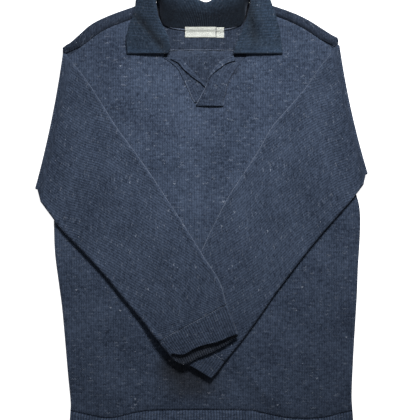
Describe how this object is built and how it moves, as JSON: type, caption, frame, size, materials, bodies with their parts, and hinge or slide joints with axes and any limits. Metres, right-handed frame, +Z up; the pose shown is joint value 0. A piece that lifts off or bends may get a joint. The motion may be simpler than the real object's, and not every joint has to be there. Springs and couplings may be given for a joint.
{
  "type": "johnny collar sweater",
  "caption": "Knitted sweater with a ribbed open johnny collar and a V placket, laid flat on its back with both long sleeves folded over the front",
  "frame": {"origin": "on the surface that the sweater lies on, under the middle of its outline", "axes": "+X towards the wearer's left, +Y towards the neck, +Z up from the surface through the back and then the front"},
  "size_m": [0.5827, 0.8054, 0.0304],
  "materials": {
    "knit": "slate navy melange plain knit with pale flecks",
    "rib": "slate navy melange fine rib knit",
    "band": "slate navy melange folded knit band",
    "label": "off-white woven label, bare"
  },
  "bodies": {
    "root": {"back_panel": "knit", "front_panel": "knit", "yoke": "knit", "sleeve_right": "knit", "sleeve_left": "knit", "cuff_right": "rib", "cuff_left": "rib", "hem_band": "rib", "collar": "rib", "placket_right": "band", "placket_left": "band", "label": "label", "size_tab": "label"}
  },
  "joints": []
}
